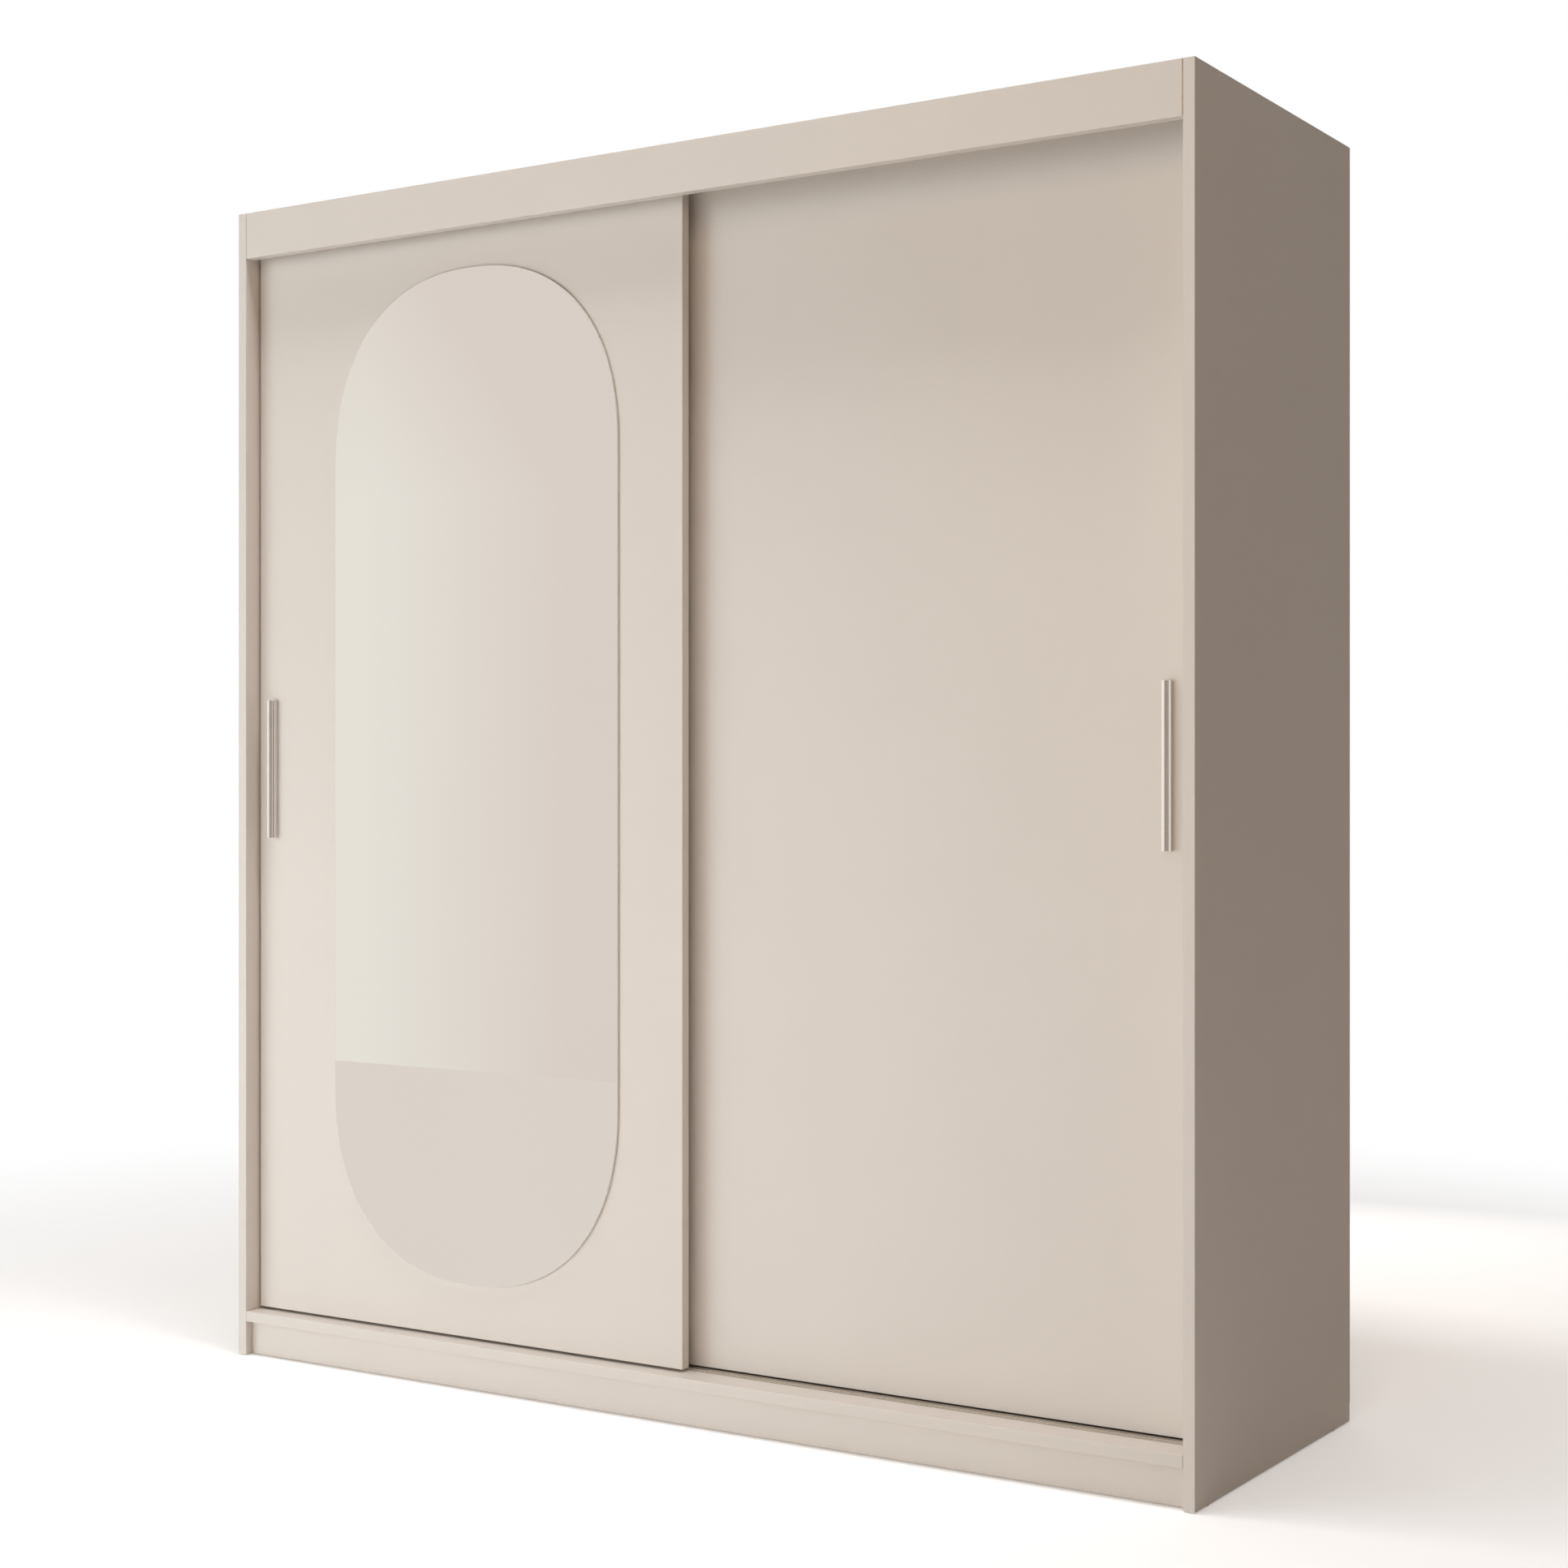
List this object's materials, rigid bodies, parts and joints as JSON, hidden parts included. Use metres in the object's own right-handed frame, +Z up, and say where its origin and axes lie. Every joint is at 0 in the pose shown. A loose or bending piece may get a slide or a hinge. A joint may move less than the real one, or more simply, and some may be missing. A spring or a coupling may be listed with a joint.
{
  "type": "sliding door wardrobe",
  "caption": "Free-standing wardrobe with sliding doors on a top track, one with an oval mirror, with shelves, a hat shelf and a hanging rail inside.",
  "frame": {"origin": "centre of the footprint, on the floor", "axes": "+Z up, +X to the right along the front, +Y to the back; the doors face -Y"},
  "size_m": [1.8, 0.61, 2],
  "materials": {
    "carcass_laminate": "cashmere beige melamine laminate on chipboard, matt, with edge banding of the same colour",
    "door_laminate": "cashmere beige melamine laminate on chipboard, matt, with edge banding of the same colour",
    "hardboard": "thin hardboard, lacquered pale beige",
    "track_aluminium": "extruded aluminium, anodised natural",
    "handle_aluminium": "extruded aluminium, anodised in a warm champagne shade",
    "zinc_steel": "pressed steel, zinc plated",
    "chromed_steel": "steel, chromed",
    "nylon": "moulded nylon, natural white",
    "grey_plastic": "moulded plastic, light grey",
    "rubber": "moulded rubber, dark grey",
    "mirror_glass": "silvered float glass with a ground edge"
  },
  "bodies": {
    "carcass": {"side_left": "carcass_laminate", "side_right": "carcass_laminate", "top_panel": "carcass_laminate", "fascia": "carcass_laminate", "bottom_panel": "carcass_laminate", "plinth_front": "carcass_laminate", "plinth_back": "carcass_laminate", "plinth_support": "carcass_laminate", "partition": "carcass_laminate", "shelf_1": "carcass_laminate", "shelf_2": "carcass_laminate", "shelf_3": "carcass_laminate", "shelf_4": "carcass_laminate", "shelf_5": "carcass_laminate", "hat_shelf": "carcass_laminate", "back_sheet_left": "hardboard", "back_sheet_right": "hardboard", "back_joiner": "grey_plastic", "glide_front_left": "nylon", "glide_front_centre": "nylon", "glide_front_right": "nylon", "glide_back_left": "nylon", "glide_back_centre": "nylon", "glide_back_right": "nylon", "wall_bracket_left": "zinc_steel", "wall_bracket_right": "zinc_steel", "hanging_rail": "chromed_steel", "rail_socket_left": "chromed_steel", "rail_socket_right": "chromed_steel", "top_track": "track_aluminium", "bottom_track": "track_aluminium", "track_stop_front_left": "rubber", "track_stop_front_right": "rubber", "track_stop_rear_left": "rubber", "track_stop_rear_right": "rubber"},
    "front_door": {"door_left": "door_laminate", "mirror": "mirror_glass", "handle_left": "handle_aluminium", "hanger_front_left": "zinc_steel", "hanger_front_right": "zinc_steel", "axle_front_left": "zinc_steel", "axle_front_right": "zinc_steel", "guide_front_left": "grey_plastic", "guide_front_right": "grey_plastic"},
    "rear_door": {"door_right": "door_laminate", "handle_right": "handle_aluminium", "hanger_rear_left": "zinc_steel", "hanger_rear_right": "zinc_steel", "axle_rear_left": "zinc_steel", "axle_rear_right": "zinc_steel", "guide_rear_left": "grey_plastic", "guide_rear_right": "grey_plastic"},
    "wheel_front_left": {"wheel_front_left": "nylon"},
    "wheel_front_right": {"wheel_front_right": "nylon"},
    "wheel_rear_left": {"wheel_rear_left": "nylon"},
    "wheel_rear_right": {"wheel_rear_right": "nylon"}
  },
  "joints": [
    {"name": "front_door_slide", "type": "slide", "parent": "carcass", "child": "front_door", "axis": [1, 0, 0], "range_m": [0, 0.854]},
    {"name": "rear_door_slide", "type": "slide", "parent": "carcass", "child": "rear_door", "axis": [-1, 0, 0], "range_m": [0, 0.854]},
    {"name": "wheel_front_left_spin", "type": "hinge", "parent": "front_door", "child": "wheel_front_left", "pos_m": [-0.788, -0.244, 1.9613], "axis": [0, 1, 0], "continuous": true},
    {"name": "wheel_front_right_spin", "type": "hinge", "parent": "front_door", "child": "wheel_front_right", "pos_m": [-0.066, -0.244, 1.9613], "axis": [0, 1, 0], "continuous": true},
    {"name": "wheel_rear_left_spin", "type": "hinge", "parent": "rear_door", "child": "wheel_rear_left", "pos_m": [0.066, -0.207, 1.9613], "axis": [0, 1, 0], "continuous": true},
    {"name": "wheel_rear_right_spin", "type": "hinge", "parent": "rear_door", "child": "wheel_rear_right", "pos_m": [0.788, -0.207, 1.9613], "axis": [0, 1, 0], "continuous": true}
  ],
  "couplings": [
    {"joint": "wheel_front_left_spin", "follows": "front_door_slide", "rad_per_m": 83.333},
    {"joint": "wheel_front_right_spin", "follows": "front_door_slide", "rad_per_m": 83.333},
    {"joint": "wheel_rear_left_spin", "follows": "rear_door_slide", "rad_per_m": -83.333},
    {"joint": "wheel_rear_right_spin", "follows": "rear_door_slide", "rad_per_m": -83.333}
  ]
}
